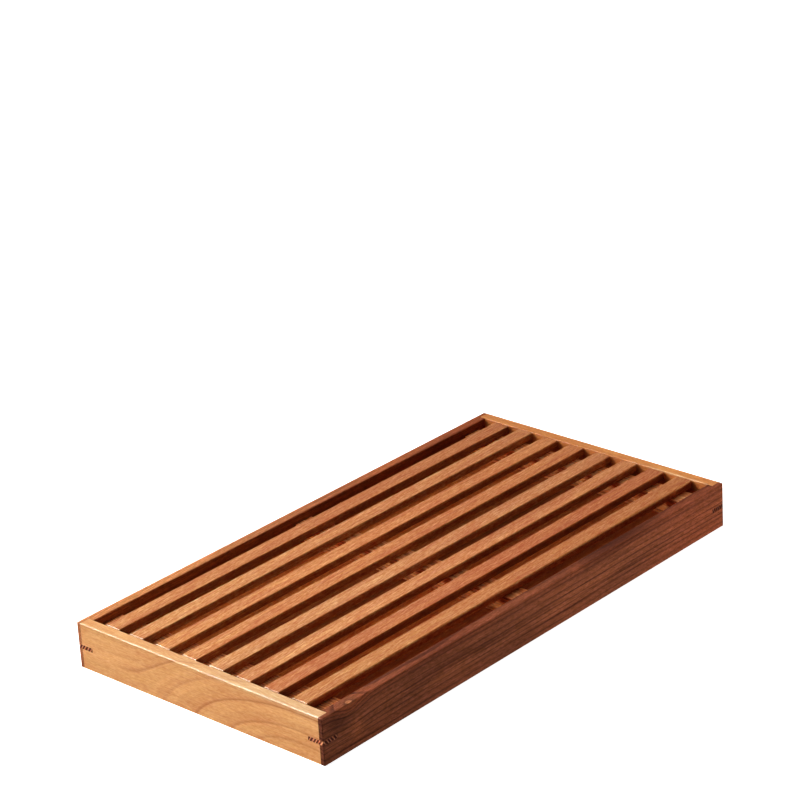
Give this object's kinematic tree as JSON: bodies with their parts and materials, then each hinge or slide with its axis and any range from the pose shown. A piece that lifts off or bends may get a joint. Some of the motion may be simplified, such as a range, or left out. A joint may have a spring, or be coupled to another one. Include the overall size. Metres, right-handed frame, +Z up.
{
  "type": "bread board",
  "caption": "Shallow rectangular wooden crumb tray with keyed corner joints and a flush slatted grid, on which bread is cut, that lifts out.",
  "frame": {"origin": "middle of the underside, on the plane of the edges that the tray stands on", "axes": "+X across the board to the right side board, +Y along it from the front end board to the back one, +Z up"},
  "size_m": [0.2216, 0.42, 0.0335],
  "materials": {
    "side_wood": "dark brown walnut-like wood, long straight streaks, oiled satin",
    "end_wood": "light golden wood with soft wavy figure, oiled satin",
    "key_wood": "dark brown wood, oiled satin",
    "floor_wood": "reddish brown wood, oiled satin",
    "slat_wood": "orange brown wood, each slat a little different, oiled satin",
    "bar_wood": "golden brown wood, oiled satin",
    "dowel_wood": "pale plain wood, unfinished"
  },
  "bodies": {
    "tray": {"side_board_left": "side_wood", "side_board_right": "side_wood", "end_board_front": "end_wood", "end_board_back": "end_wood", "corner_key_front_left": "key_wood", "corner_key_front_right": "key_wood", "corner_key_back_right": "key_wood", "corner_key_back_left": "key_wood", "bottom_panel": "floor_wood"},
    "grid": {"slat_1": "slat_wood", "slat_2": "slat_wood", "slat_3": "slat_wood", "slat_4": "slat_wood", "slat_5": "slat_wood", "slat_6": "slat_wood", "slat_7": "slat_wood", "slat_8": "slat_wood", "cross_bar_front": "bar_wood", "cross_bar_middle": "bar_wood", "cross_bar_back": "bar_wood", "grid_dowels": "dowel_wood"}
  },
  "joints": [
    {"name": "grid_lift", "type": "slide", "parent": "tray", "child": "grid", "axis": [0, 0, 1], "range_m": [0, 0.05]}
  ]
}
